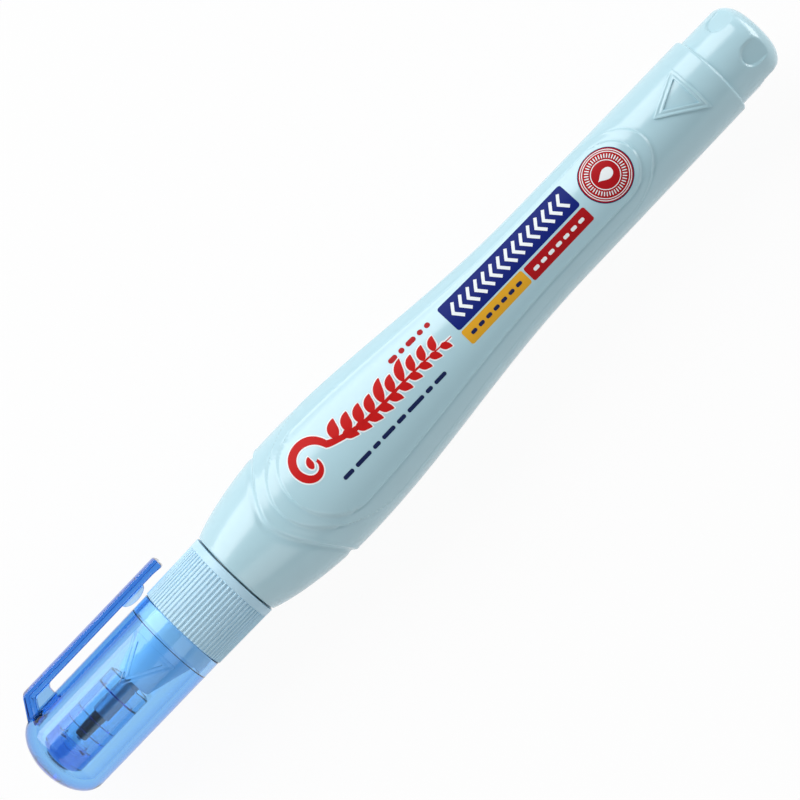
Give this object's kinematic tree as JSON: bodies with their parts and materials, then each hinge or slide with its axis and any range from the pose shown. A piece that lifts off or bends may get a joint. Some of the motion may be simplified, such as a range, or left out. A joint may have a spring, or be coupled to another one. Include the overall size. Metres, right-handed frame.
{
  "type": "correction pen",
  "caption": "Squeeze correction pen with a waisted bottle, ribbed tip holder, sprung needle tip, mixing ball and clear cap with clip.",
  "frame": {"origin": "centre of the bounding box's bottom face, under the lying pen", "axes": "+X along the pen from the tip towards the tail, +Y towards the clip's side, +Z out of the label face"},
  "size_m": [0.1448, 0.0202, 0.0186],
  "materials": {
    "bottle_plastic": "smooth glossy moulded plastic, pale cool white",
    "holder_plastic": "satin moulded plastic, pale blue white, finely ribbed",
    "tip_steel": "turned steel",
    "needle_steel": "turned steel",
    "spring_steel": "drawn spring wire",
    "natural_plastic": "uncoloured moulded plastic",
    "ball_steel": "polished steel ball",
    "clear_blue_plastic": "clear blue moulded plastic, polished"
  },
  "bodies": {
    "pen": {"squeeze_bottle": "bottle_plastic", "tip_holder": "holder_plastic", "metal_tip": "tip_steel", "valve_spring": "spring_steel", "spring_seat": "natural_plastic"},
    "cap": {"cap": "clear_blue_plastic"},
    "needle": {"valve_needle": "needle_steel"},
    "ball": {"mixing_ball": "ball_steel"}
  },
  "joints": [
    {"name": "cap_pull", "type": "slide", "parent": "pen", "child": "cap", "axis": [-1, 0, 0], "range_m": [0, 0.035]},
    {"name": "needle_press", "type": "slide", "parent": "pen", "child": "needle", "axis": [1, 0, 0], "range_m": [0, 0.0004], "stiffness_N_per_m": 400, "springref_m": -0.0006, "deforming": ["valve_spring"]},
    {"name": "ball_run", "type": "slide", "parent": "pen", "child": "ball", "axis": [-1, 0, 0], "range_m": [0, 0.096]}
  ]
}
